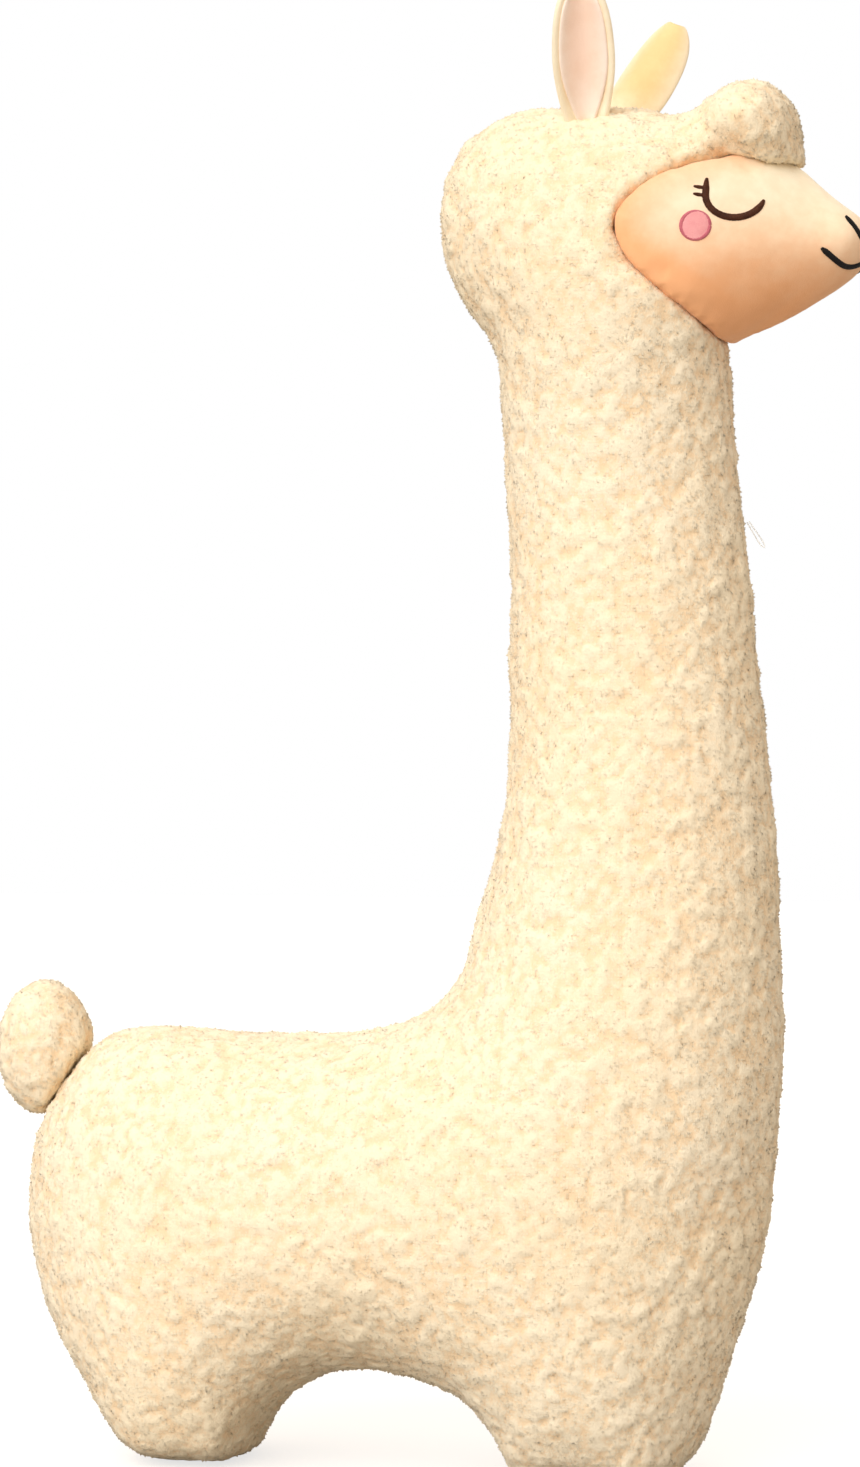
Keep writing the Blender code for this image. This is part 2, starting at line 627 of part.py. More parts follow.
def make_eye(side, y_sign, skin):
    """A closed eye: a hanging arc that runs on up at its rear end, with two lashes there."""
    def arc(share):
        angle = math.radians(190 + 156 * share)
        return -EYE_SETBACK + EYE_HALF_WIDTH * math.cos(angle), EYE_HEIGHT + EYE_DROP * 0.62 * (1 + math.sin(angle))

    path = [skin.from_side(*arc(step / 14), y_sign) for step in range(15)]
    x, z = arc(0)
    stem = [skin.from_side(x - 0.0005, z + LASH_LENGTH * (1 - step / 3), y_sign) for step in range(3)]
    eye = stitched_line(f"{side}_eye", stem + path, STITCH_WIDTH)
    for count in range(2):
        height = z + 0.0012 - count * LASH_SPACING
        reach = [0.0008 - LASH_LENGTH * step / 4 for step in range(5)]
        lash = [skin.from_side(x + at, height, y_sign) for at in reach]
        combine(eye, stitched_line("lash", lash, STITCH_WIDTH * 0.6), "UNION")
    return skin.seat(eye)


def make_cheek(side, y_sign, skin):
    """A round stitched blush with a soft edge."""
    mesh = bmesh.new()
    around = 22

    def spot(share, angle, height):
        x = -CHEEK_SETBACK + CHEEK_RADIUS * share * math.cos(angle)
        z = CHEEK_HEIGHT + CHEEK_RADIUS * share * math.sin(angle)
        place, normal = skin.from_side(x, z, y_sign)
        return mesh.verts.new(place + normal * height)

    top = GAP + STITCH_RISE
    levels = [(1.0, -STITCH_ROOT), (1.0, top - 0.6 * STITCH_RISE), (0.86, top), (0.5, top)]
    rings = [[spot(share, math.tau * n / around, height) for n in range(around)] for share, height in levels]
    middle = spot(0, 0, top)
    for n in range(around):
        m = (n + 1) % around
        for one, two in zip(rings, rings[1:]):
            mesh.faces.new((one[n], one[m], two[m], two[n]))
        mesh.faces.new((rings[-1][n], rings[-1][m], middle))
    mesh.faces.new(rings[0])
    bmesh.ops.recalc_face_normals(mesh, faces=mesh.faces)
    return skin.seat(new_object(f"{side}_cheek", mesh))


def make_nose_and_mouth(skin):
    """Two nose lines that run down to the middle, and under them the mouth's two arcs, wrapped round the muzzle."""
    centre = MUZZLE_REACH - MUZZLE_HALF_WIDTH * 1.3
    meeting = MUZZLE_HEIGHT - NOSE_DROP
    middle, corner = meeting - MOUTH_GAP, MUZZLE_HEIGHT - MOUTH_CORNER_DROP

    def wrapped(name, spread, height, steps, width):
        shares = [step / steps for step in range(-steps, steps + 1)]
        path = [skin.from_front(centre, spread * share, height(abs(share))) for share in shares]
        return skin.seat(stitched_line(name, path, width))

    def nose_height(share):
        return meeting + (NOSE_RISE + NOSE_DROP) * share ** 1.2

    def mouth_height(share):
        return middle + (corner - middle) * share - MOUTH_DEPTH * math.sin(math.pi * share)

    nose = wrapped("nose", NOSE_SPREAD, nose_height, 7, STITCH_WIDTH)
    return [nose, wrapped("mouth", MOUTH_REACH, mouth_height, 12, STITCH_WIDTH * 0.9)]


def make_tag_loop(body):
    """The clear loop of a swing tag: both strands come out of the front seam and hang forwards."""
    place, _ = Skin(body).from_front(-THROAT_SETBACK - NECK_DEPTH / 2, 0.0, THROAT_HEIGHT - LOOP_DROP)
    root = Vector((place.x + GAP + LOOP_THREAD_RADIUS * 3.5, 0, place.z))
    along, across = Vector((0.54, 0, -0.84)), Vector((0.84, 0, 0.54))
    turn = np.linspace(0, math.pi, 300)
    reach = LOOP_LENGTH * np.sin(turn) ** 0.6
    width = np.cos(turn) * (2 * LOOP_THREAD_RADIUS + (LOOP_HALF_GAP - 2 * LOOP_THREAD_RADIUS) * np.sin(turn))
    run = np.concatenate([[0], np.cumsum(np.hypot(np.diff(reach), np.diff(width)))])
    stops = np.linspace(0, run[-1], round(run[-1] / (5 * LOOP_THREAD_RADIUS)))

    curve = bpy.data.curves.new("tag_loop", "CURVE")
    curve.dimensions = "3D"
    curve.bevel_depth = LOOP_THREAD_RADIUS
    curve.bevel_resolution = 2
    curve.use_fill_caps = True
    spline = curve.splines.new("POLY")
    spline.points.add(len(stops) - 1)
    for point, far, wide in zip(spline.points, np.interp(stops, run, reach), np.interp(stops, run, width)):
        point.co = (*(root + along * far + across * wide), 1)
    obj = bpy.data.objects.new("tag_loop", curve)
    bpy.context.scene.collection.objects.link(obj)
    return obj


def finish(obj, made):
    obj.data.materials.clear()
    obj.data.materials.append(made)
    if obj.type == "MESH":
        obj.data.shade_smooth()
        obj.data.set_sharp_from_angle(angle=math.radians(50))


def main():
    clear_scene()
    body = make_body()
    face = make_face()
    skin = Skin(face)
    ears = {"right": (-1, RIGHT_EAR_LEAN), "left": (1, LEFT_EAR_LEAN)}
    backs, linings = zip(*(make_ear(side, sign, lean, body) for side, (sign, lean) in ears.items()))
    dressed = [
        (material("cream_fleece", CREAM_FLEECE, 0.95), [body, make_forelock(body, face), make_tail(body)]),
        (material("peach_velour", PEACH_VELOUR, 0.85), [face, *backs]),
        (material("pink_lining", PINK_LINING, 0.85), linings),
        (material("brown_thread", BROWN_THREAD, 0.45), [make_eye(side, sign, skin) for side, (sign, _) in ears.items()]),
        (material("pink_thread", PINK_THREAD, 0.55), [make_cheek(side, sign, skin) for side, (sign, _) in ears.items()]),
        (material("black_thread", BLACK_THREAD, 0.45), make_nose_and_mouth(skin)),
        (material("clear_nylon", CLEAR_NYLON, 0.3), [make_tag_loop(body)]),
    ]
    pieces = [piece for _, group in dressed for piece in group if piece.type == "MESH"]
    reach = [vertex.co.x for piece in pieces for vertex in piece.data.vertices]
    centring = Matrix.Translation((-(min(reach) + max(reach)) / 2, 0, 0))
    for made, pieces in dressed:
        for piece in pieces:
            piece.data.transform(centring)
            finish(piece, made)


main()
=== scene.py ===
import itertools
import math

import bmesh
import bpy
import numpy as np
from mathutils import Matrix, Vector
from mathutils.bvhtree import BVHTree


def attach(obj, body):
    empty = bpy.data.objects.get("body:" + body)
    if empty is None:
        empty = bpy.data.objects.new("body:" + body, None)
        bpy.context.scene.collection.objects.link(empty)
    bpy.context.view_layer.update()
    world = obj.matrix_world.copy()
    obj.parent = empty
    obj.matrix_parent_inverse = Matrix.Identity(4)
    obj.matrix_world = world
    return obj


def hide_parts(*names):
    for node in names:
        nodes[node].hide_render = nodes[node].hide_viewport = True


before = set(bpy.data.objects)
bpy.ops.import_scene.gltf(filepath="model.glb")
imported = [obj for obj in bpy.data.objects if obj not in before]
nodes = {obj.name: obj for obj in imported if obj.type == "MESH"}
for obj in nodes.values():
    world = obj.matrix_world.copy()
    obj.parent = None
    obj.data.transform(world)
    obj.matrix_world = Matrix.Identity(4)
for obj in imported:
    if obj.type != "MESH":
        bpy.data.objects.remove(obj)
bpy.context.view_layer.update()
bpy.ops.object.select_all(action="DESELECT")

# Lengths are in metres and turns in degrees.
COVER_GRAIN = 0.006          # size of the squares that the fleece cover is cut out in
TAIL_GRAIN = 0.0055
FACE_GRAIN = 0.0029
BACKING = 0.0006             # the fleece's knitted backing over the solid
CURL = 0.0046                # from curl to curl
CLUMP = 0.0082               # from clump to clump of curls
CURL_HEIGHT = 0.0013
CLUMP_HEIGHT = 0.0010
SWELL_HEIGHT = 0.0009        # of the slow unevenness of the filling
PARTING = 0.0008             # how far the pile sinks along a seam
WELT = 0.0014                # how far the fleece stands up round the face
SOLE_GAP = 0.0004            # between the pile under the feet and the floor
HIND_END = -0.075            # where the cover is divided, along the body
FRONT_START = 0.055
NECK_START = 0.27            # and upwards
HOOD_START = 0.50
TUFT = 0.0009                # how far the loose end of a curl stands out
TUFT_SHARE = 0.38            # share of the faces that have such an end
TURN_IN = 0.005              # how deep a part of the cover is turned in where it meets the next
THREAD = 0.00026             # radius of embroidery thread
STITCH_PITCH = 0.00046       # from stitch to stitch
SUNK = 0.0002                # how deep stitches and their underlay sit in the cloth
ARCH_THREAD = 0.17           # radius of the thread in the model stitch, whose feet are 2 apart
LID_WIDTH = 0.0032
LASH_WIDTH = 0.0018
CHEEK_BORDER_WIDTH = 0.0018
NOSE_WIDTH = 0.0030
MOUTH_WIDTH = 0.0027
LOW_RISE = 0.0009            # height of the stitches of lashes and cheek border
PADDING = 0.0010             # height of the underlay in eyelid, nose and mouth
LASH_PADDING = 0.0007
EYE_CENTRE = Vector((0.1665, 0, 0.62165))
CHEEK_CENTRE = Vector((0.1488, 0, 0.6176))
CHEEK_RADIUS = 0.0067
MUZZLE_AXIS = 0.1981         # the upright line that nose and mouth are wrapped round
EAR_ROOT = Vector((0.0889, 0.024, 0.673))
EAR_LENGTH = 0.070
EAR_HALF_WIDTH = 0.0143
EAR_CUP = 0.008              # how deep an ear is folded round its long axis
EAR_SPLAY = 20               # turned outwards
EAR_TURN = 14                # how far the hollow faces forwards of straight out
TAG_THREAD = 0.0003          # radius of the clear loop


class Socket:
    """A shader value that can be written into a sum."""

    def __init__(self, finish, socket):
        self.finish = finish
        self.socket = socket

    def maths(self, operation, one, two):
        return self.finish.node("Math", {"operation": operation}, {0: one, 1: two})

    def __add__(self, other):
        return self.maths("ADD", self, other)

    def __radd__(self, other):
        return self.maths("ADD", other, self)

    def __sub__(self, other):
        return self.maths("SUBTRACT", self, other)

    def __rsub__(self, other):
        return self.maths("SUBTRACT", other, self)

    def __mul__(self, other):
        return self.maths("MULTIPLY", self, other)

    def __rmul__(self, other):
        return self.maths("MULTIPLY", other, self)


class Finish:
    """A material and the nodes that give it its colour and surface."""

    def __init__(self, name, **shader):
        self.material = bpy.data.materials.new(name)
        self.material.use_nodes = True
        self.tree = self.material.node_tree
        self.shader = self.tree.nodes["Principled BSDF"]
        for key, value in shader.items():
            self.shader.inputs[key.replace("_", " ")].default_value = value

    def node(self, kind, settings=(), sockets=(), output=0):
        made = self.tree.nodes.new("ShaderNode" + kind)
        for key, value in dict(settings).items():
            setattr(made, key, value)
        for key, value in dict(sockets).items():
            self.plug(made.inputs[key], value)
        return Socket(self, made.outputs[output])

    def plug(self, entry, value):
        if isinstance(value, Socket):
            self.tree.links.new(value.socket, entry)
        else:
            entry.default_value = value

    def place(self):
        return self.node("TexCoord", output="Object")

    def noise(self, size, detail=2.0, rough=0.5, vector=None, output=0):
        where = vector or self.place()
        sockets = {"Vector": where, "Scale": 1 / size, "Detail": detail, "Roughness": rough}
        return self.node("TexNoise", {"noise_dimensions": "3D"}, sockets, output)

    def warped(self, size, reach):
        """Object coordinates pushed about by a noise, so that a pattern on them curls."""
        push = self.noise(size, 1.0, output="Color")
        centred = self.node("VectorMath", {"operation": "SUBTRACT"}, {0: push, 1: (0.5, 0.5, 0.5)})
        sockets = {0: centred, 1: (reach, reach, reach), 2: self.place()}
        return self.node("VectorMath", {"operation": "MULTIPLY_ADD"}, sockets)

    def cells(self, size):
        sockets = {"Vector": self.place(), "Scale": 1 / size}
        return self.node("TexVoronoi", {"feature": "F1"}, sockets, "Distance")

    def attribute(self, name):
        return self.node("Attribute", {"attribute_name": name}, output="Fac")

    def stretch(self, value, low, high, bottom=0.0, top=1.0):
        """value from low..high spread over bottom..top, smoothly and no further."""
        sockets = {"Value": value, "From Min": low, "From Max": high, "To Min": bottom, "To Max": top}
        return self.node("MapRange", {"interpolation_type": "SMOOTHSTEP"}, sockets)

    def blend(self, factor, one, two):
        return self.node("Mix", {"data_type": "RGBA"}, {0: factor, 6: one, 7: two}, 2)

    def multiply(self, one, two):
        settings = {"data_type": "RGBA", "blend_type": "MULTIPLY"}
        return self.node("Mix", settings, {0: 1.0, 6: one, 7: two}, 2)

    def relief(self, height, distance, strength):
        return self.node("Bump", {}, {"Height": height, "Distance": distance, "Strength": strength})

    def set(self, **surface):
        for key, value in surface.items():
            self.plug(self.shader.inputs[key.replace("_", " ")], value)
        return self.material


def fleece_finish():
    """Cream curly fleece, pale at the tips, with painted shade in warm tan down in the pile and between the
    fine strands over both.
    """
    cloth = Finish("cream fleece", Sheen_Weight=0.22, Sheen_Roughness=0.6,
                   Sheen_Tint=(1.0, 0.93, 0.82, 1), Specular_IOR_Level=0.12)
    pile = cloth.attribute("pile")
    curly = cloth.warped(0.0040, 0.0026)
    strand = cloth.noise(0.0019, 1.0, 0.5, curly)
    fibre = cloth.noise(0.0008, 3.0, 0.7, curly)
    # painted shade: the warm tan that low places in the pile and between the strands are coloured with
    deep = cloth.blend(cloth.noise(0.05, 2.0), (0.93, 0.70, 0.44, 1), (0.94, 0.74, 0.50, 1))
    patches = cloth.stretch(cloth.noise(0.09, 2.0), 0.3, 0.7)
    light = cloth.blend(patches, (0.965, 0.84, 0.62, 1), (0.97, 0.865, 0.67, 1))
    # how high in the pile and the strands a point lies; the low places take the painted shade
    tips = cloth.stretch(pile + (strand - 0.5) * 0.5 + (fibre - 0.5) * 0.25, -0.05, 0.60)
    colour = cloth.blend(tips, deep, light)
    height = strand * 0.6 + fibre * 0.6
    return cloth.set(Base_Color=colour, Roughness=cloth.stretch(tips, 0, 1, 0.98, 0.88),
                     Normal=cloth.relief(height, 0.0007, 0.7))


def velour_finish(name, warm, pale):
    """Short-pile cloth with a brushed nap, warm where the tone is 0 and pale where it is 1; the warm end is
    painted shade.
    """
    cloth = Finish(name, Sheen_Weight=0.35, Sheen_Roughness=0.45,
                   Sheen_Tint=(1.0, 0.9, 0.78, 1), Specular_IOR_Level=0.2)
    brushed = cloth.noise(0.011, 3.0, 0.6)
    nap = cloth.noise(0.00045, 2.0, 0.6)
    loops = cloth.cells(0.0007)
    # painted shade: the noted tone takes the colour from the pale one to the warm, shaded one
    base = cloth.blend(cloth.stretch(cloth.attribute("tone") + (brushed - 0.5) * 0.25, 0, 1), warm, pale)
    shade = cloth.blend(cloth.stretch(brushed, 0.35, 0.65), (0.97, 0.95, 0.93, 1), (1, 1, 1, 1))
    return cloth.set(Base_Color=cloth.multiply(base, shade),
                     Roughness=cloth.stretch(nap, 0.2, 0.8, 0.78, 0.92),
                     Normal=cloth.relief(nap * 0.7 + (1 - loops) * 0.3, 0.00018, 0.7))


def thread_finish(name, dark, light, sheen):
    """Embroidery thread, its plies seen as fine darker and lighter streaks."""
    thread = Finish(name, Sheen_Weight=sheen, Specular_IOR_Level=0.15)
    ply = thread.noise(0.0005, 2.0, 0.6)
    tone = thread.noise(0.004, 1.0)
    colour = thread.blend(thread.stretch(ply * 0.6 + tone * 0.4, 0.3, 0.7), dark, light)
    return thread.set(Base_Color=colour, Roughness=thread.stretch(ply, 0.3, 0.7, 0.46, 0.62),
                      Normal=thread.relief(ply, 0.00008, 0.6))


def nylon_finish():
    """Clear nylon thread, a little scuffed."""
    nylon = Finish("clear nylon", Transmission_Weight=0.55, IOR=1.5)
    scuff = nylon.noise(0.0012, 2.0)
    return nylon.set(Base_Color=nylon.blend(scuff, (0.62, 0.60, 0.56, 1), (0.78, 0.76, 0.72, 1)),
                     Roughness=nylon.stretch(scuff, 0.3, 0.7, 0.12, 0.3))


def put_in_scene(name, data):
    """A new object for a mesh, a curve, a lamp or a camera."""
    made = bpy.data.objects.new(name, data)
    bpy.context.scene.collection.objects.link(made)
    return made


def place_camera():
    lens = bpy.data.cameras.new("camera")
    lens.lens = 101.9
    lens.sensor_width = 36
    camera = put_in_scene("camera", lens)
    camera.location = (0.5459, -2.0284, 0.371)
    camera.rotation_euler = (math.radians(90), 0, math.radians(15))
    bpy.context.scene.camera = camera


def seen_white(tree):
    """1 for rays that come from the camera, or by way of a gloss or a clear thing; else 0."""
    path = tree.nodes.new("ShaderNodeLightPath")
    total = path.outputs["Is Camera Ray"]
    for name in ("Is Glossy Ray", "Is Transmission Ray"):
        join = tree.nodes.new("ShaderNodeMath")
        join.operation = "MAXIMUM"
        tree.links.new(total, join.inputs[0])
        tree.links.new(path.outputs[name], join.inputs[1])
        total = join.outputs[0]
    return total


def lay_floor():
    bpy.ops.mesh.primitive_plane_add(size=14, location=(0, 0, 0))
    floor = bpy.context.object
    floor.name = "floor"
    white = bpy.data.materials.new("white floor")
    white.use_nodes = True
    tree = white.node_tree
    shader = tree.nodes["Principled BSDF"]
    shader.inputs["Base Color"].default_value = (0.42, 0.40, 0.37, 1)
    shader.inputs["Roughness"].default_value = 0.9
    shader.inputs["Specular IOR Level"].default_value = 0.0
    shader.inputs["Emission Color"].default_value = (1, 1, 1, 1)
    seen = tree.nodes.new("ShaderNodeMath")
    seen.operation = "MULTIPLY"
    seen.inputs[1].default_value = 0.72
    tree.links.new(seen_white(tree), seen.inputs[0])
    tree.links.new(seen.outputs[0], shader.inputs["Emission Strength"])
    floor.data.materials.append(white)


def light_stage():
    world = bpy.data.worlds.new("room")
    bpy.context.scene.world = world
    world.use_nodes = True
    tree = world.node_tree
    room = tree.nodes["Background"]
    room.inputs["Color"].default_value = (1.0, 0.84, 0.68, 1)
    room.inputs["Strength"].default_value = 0.64
    white = tree.nodes.new("ShaderNodeBackground")
    white.inputs["Color"].default_value = (1, 1, 1, 1)
    white.inputs["Strength"].default_value = 1.0
    mix = tree.nodes.new("ShaderNodeMixShader")
    tree.links.new(seen_white(tree), mix.inputs[0])
    tree.links.new(room.outputs[0], mix.inputs[1])
    tree.links.new(white.outputs[0], mix.inputs[2])
    tree.links.new(mix.outputs[0], tree.nodes["World Output"].inputs["Surface"])

    for name, towards, strength, spread, colour in (
            ("key", (-0.22, -0.83, 0.50), 2.30, 55, (1.0, 0.99, 0.98)),
            ("top", (0.0, 0.0, 1.0), 0.50, 80, (0.80, 0.92, 1.0)),
            ("back", (-0.30, 0.92, 0.25), 1.10, 50, (1.0, 0.96, 0.90))):
        lamp = bpy.data.lights.new(name, "SUN")
        lamp.energy = strength
        lamp.angle = math.radians(spread)
        lamp.color = colour
        put_in_scene(name, lamp).rotation_euler = Vector(towards).to_track_quat("Z", "Y").to_euler()


class Surface:
    """The outside of a piece, to lay stitches on and to measure distances from."""

    def __init__(self, piece):
        mesh = bmesh.new()
        mesh.from_mesh(piece.data)
        self.tree = BVHTree.FromBMesh(mesh)
        mesh.free()

    def hit(self, start, direction):
        place, normal, _, _ = self.tree.ray_cast(start, direction)
        return place, normal

    def from_side(self, x, z, side):
        return self.hit(Vector((x, side * 0.2, z)), Vector((0, -side, 0)))

    def from_front(self, turn, z):
        out = Vector((math.cos(math.radians(turn)), math.sin(math.radians(turn)), 0))
        return self.hit(Vector((MUZZLE_AXIS, 0, z)) + out * 0.2, -out)

    def distance(self, points):
        return np.array([self.tree.find_nearest(Vector(point))[3] for point in points])


def corners(piece):
    """The places of a piece's points, one row for each."""
    flat = np.empty(len(piece.data.vertices) * 3, np.float32)
    piece.data.vertices.foreach_get("co", flat)
    return flat.reshape(-1, 3).astype(float)


def normals(piece):
    flat = np.empty(len(piece.data.vertices) * 3, np.float32)
    piece.data.vertex_normals.foreach_get("vector", flat)
    return flat.reshape(-1, 3).astype(float)


def move_to(piece, points):
    piece.data.vertices.foreach_set("co", points.astype(np.float32).ravel())
    piece.data.update()


def note(mesh, name, values):
    """Writes a number on each point of a mesh, for its finish to read."""
    layer = mesh.attributes.new(name, "FLOAT", "POINT")
    layer.data.foreach_set("value", values.astype(np.float32))


def apply(piece, kind, **settings):
    bpy.context.view_layer.objects.active = piece
    modifier = piece.modifiers.new(kind.lower(), kind)
    for key, value in settings.items():
        setattr(modifier, key, value)
    bpy.ops.object.modifier_apply(modifier=modifier.name)


def cut_out(name, voxel, *joined_nodes):
    """A closed, even mesh of one or more CAD solids, for cloth to be made of."""
    mesh = bmesh.new()
    for node in joined_nodes:
        mesh.from_mesh(nodes[node].data)
    bmesh.ops.remove_doubles(mesh, verts=mesh.verts, dist=1e-5)
    made = bpy.data.meshes.new(name)
    mesh.to_mesh(made)
    mesh.free()
    piece = put_in_scene(name, made)
    apply(piece, "REMESH", mode="VOXEL", voxel_size=voxel)
    return piece


def stuff(piece, held, shrink, reach, pressure=4.0):
    """Blows the cloth up from a slightly smaller shape; held says how firmly each point is sewn down."""
    move_to(piece, corners(piece) - normals(piece) * shrink)
    start = corners(piece)
    seam = piece.vertex_groups.new(name="seam")
    for index in np.nonzero(held > 0.02)[0]:
        seam.add([int(index)], float(held[index]), "REPLACE")
    cloth = piece.modifiers.new("cloth", "CLOTH")
    cloth.settings.quality = 4
    cloth.settings.mass = 0.25
    cloth.settings.tension_stiffness = 12
    cloth.settings.compression_stiffness = 12
    cloth.settings.shear_stiffness = 4
    cloth.settings.bending_stiffness = 0.6
    cloth.settings.use_pressure = True
    cloth.settings.uniform_pressure_force = pressure
    cloth.settings.effector_weights.gravity = 0
    cloth.settings.vertex_group_mass = "seam"
    cloth.collision_settings.use_collision = False
    scene = bpy.context.scene
    for moment in range(1, 21):
        scene.frame_set(moment)
    blown = piece.evaluated_get(bpy.context.evaluated_depsgraph_get())
    flat = np.empty(len(start) * 3, np.float32)
    blown.data.vertices.foreach_get("co", flat)
    piece.modifiers.remove(cloth)
    piece.vertex_groups.clear()
    moved = flat.reshape(-1, 3) - start
    far = np.linalg.norm(moved, axis=1, keepdims=True)
    move_to(piece, start + moved * np.minimum(1, reach / np.maximum(far, 1e-9)))
    scene.frame_set(1)


def chance(cell, seed):
    """Three even random numbers for each cell of a grid, the same every time."""
    key = cell[:, 0] * 73856093 ^ cell[:, 1] * 19349663 ^ cell[:, 2] * 83492791 ^ seed * 2654435761
    rolls = []
    for turn in range(3):
        key = (key ^ (key >> 15)) * 2246822519 & 0xFFFFFFFF
        key = (key ^ (key >> 13)) * 3266489917 & 0xFFFFFFFF
        rolls.append(((key ^ (key >> 16)) & 0xFFFFFF) / 0x1000000)
    return np.stack(rolls, 1)


def waves(points, size, seed):
    """Smooth noise from about -1 to 1 on a cubic grid of the given size."""
    grid = points / size
    home = np.floor(grid).astype(np.int64)
    part = grid - home
    part = part * part * (3 - 2 * part)
    total = np.zeros(len(points))
    for step in itertools.product((0, 1), repeat=3):
        weight = np.prod(np.where(np.array(step) == 1, part, 1 - part), axis=1)
        total += weight * (chance(home + np.array(step), seed)[:, 0] * 2 - 1)
    return total


def curls(points, size, length, seed):
    """Height from 0 to about 1 of little curls that run into each other, each lying its own way."""
    grid = points / size
    home = np.floor(grid).astype(np.int64)
    height = np.zeros(len(points))
    for step in itertools.product((-1, 0, 1), repeat=3):
        cell = home + np.array(step)
        away = grid - (cell + chance(cell, seed))
        lie = chance(cell, seed + 7) - 0.5
        lie /= np.linalg.norm(lie, axis=1, keepdims=True) + 1e-9
        along = (away * lie).sum(1)
        spread = (away ** 2).sum(1) - (1 - 1 / length ** 2) * along ** 2
        rise = 0.45 + 0.55 * chance(cell, seed + 13)[:, 0]
        height += np.exp(9 * rise * (1 - np.minimum(spread, 1.4) / 0.7))
    return np.log(height) / 9 - 0.22


def raise_pile(piece, seam, welt=0.0):
    """Puts the fleece on, parted along each seam, and notes as pile how high each point lies."""
    points, out = corners(piece), normals(piece)
    push = np.stack([waves(points, 0.0075, seed) for seed in (3, 4, 5)], 1) * 0.0015
    curl = curls(points + push, CURL, 1.5, 11)
    clump = np.clip(waves(points, CLUMP, 21) + 0.35 * waves(points, 0.0045, 22) + 0.1, -0.2, 1)
    lively = 0.85 + 0.35 * waves(points, 0.03, 51)
    swell = waves(points, 0.045, 31)
    hollow = 1 - seam(points)
    height = BACKING + (CURL_HEIGHT * curl * lively + CLUMP_HEIGHT * clump) * (0.3 + 0.7 * hollow) + welt
    height += SWELL_HEIGHT * swell * hollow - PARTING * (1 - hollow)
    moved = points + out * height[:, None]
    resting = moved[:, 2] < SOLE_GAP
    moved[resting, 2] = SOLE_GAP + 0.0003 * curl[resting]
    move_to(piece, moved)
    # the fleece finish paints shade from this pile height: warm tan low in the pile and along the seams
    note(piece.data, "pile", np.clip(curl * (0.5 + 0.5 * hollow) + 0.25 * clump, 0, 1))


def middle_seam(points):
    """1 on the middle seam of back, neck and chest. It fades out within a curl's width and at the belly."""
    return np.exp(-(points[:, 1] / 0.0022) ** 2) * np.clip((points[:, 2] - 0.09) / 0.05, 0, 1)


def no_seam(points):
    return np.zeros(len(points))


def open_rims(quads):
    """The loops of corners round the holes of a patch of quads."""
    directed = np.stack([quads, np.roll(quads, -1, 1)], 2).reshape(-1, 2)
    _, first, times = np.unique(np.sort(directed, 1), axis=0, return_index=True, return_counts=True)
    follow = {int(b): int(a) for a, b in directed[first[times == 1]]}
    rims = []
    while follow:
        start, at = follow.popitem()
        rim = [start]
        while at != start and at in follow:
            rim.append(at)
            at = follow.pop(at)
        if len(rim) > 2:
            rims.append(rim)
    return rims


def raise_tufts(points, out, depth, quads):
    """Puts a leaning tuft of wool on some of the quads: four sides that meet at its tip take its place."""
    middle, up = points[quads].mean(1), out[quads].mean(1)
    roll = chance(np.round(middle * 50000).astype(np.int64), 61)
    grown = (roll[:, 0] < TUFT_SHARE) & (middle[:, 2] > 0.004)
    turn = roll[:, 1:2] * math.tau
    lean = (points[quads[:, 0]] - middle) * np.cos(turn) + (points[quads[:, 1]] - middle) * np.sin(turn)
    tips = (middle + up * TUFT * (0.35 + roll[:, 2:] ** 2) + lean * 0.6)[grown]
    number = len(points) + np.arange(len(tips))
    sides = [np.stack([quads[grown, one], quads[grown, (one + 1) % 4], number], 1) for one in range(4)]
    faces = quads[~grown].tolist() + np.vstack(sides).tolist()
    # a tuft's tip is noted higher in the pile, so it gets less of the painted shade
    raised = np.clip(depth[quads[grown]].mean(1) + 0.35, 0, 1)
    return np.vstack([points, tips]), np.vstack([out, up[grown]]), np.append(depth, raised), faces


def cover_part(name, cover, chosen):
    """The chosen quads of a cover as a piece of its own, turned in and closed where it meets the next."""
    quads = quads_of(cover)[chosen]
    used, inverse = np.unique(quads, return_inverse=True)
    quads = inverse.reshape(-1, 4)
    pile = np.empty(len(cover.data.vertices), np.float32)
    cover.data.attributes["pile"].data.foreach_get("value", pile)
    points, out, depth = corners(cover)[used], normals(cover)[used], pile[used]
    points, out, depth, faces = raise_tufts(points, out, depth, quads)
    for rim in open_rims(quads):
        inner = len(points)
        turned = points[rim] - out[rim] * TURN_IN
        points, out = np.vstack([points, turned]), np.vstack([out, out[rim]])
        depth = np.append(depth, depth[rim])
        lid = [inner + step for step in range(len(rim))]
        faces += [[a, b, d, c] for a, b, c, d in zip(rim, rim[1:] + rim[:1], lid, lid[1:] + lid[:1])]
        faces.append(lid)
    made = bpy.data.meshes.new(name)
    made.from_pydata(points.tolist(), [], faces)
    made.shade_smooth()
    note(made, "pile", depth)
    made.normals_split_custom_set_from_vertices(out.tolist())
    return put_in_scene(name, made)


def quads_of(piece):
    quads = np.empty(len(piece.data.polygons) * 4, np.int32)
    piece.data.polygons.foreach_get("vertices", quads)
    return quads.reshape(-1, 4)


def dress(piece, finish, slot, *replaced, fill=None):
    piece.data.materials.clear()
    piece.data.materials.append(finish)
    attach(piece, "root")
    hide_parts(*replaced)
    return piece


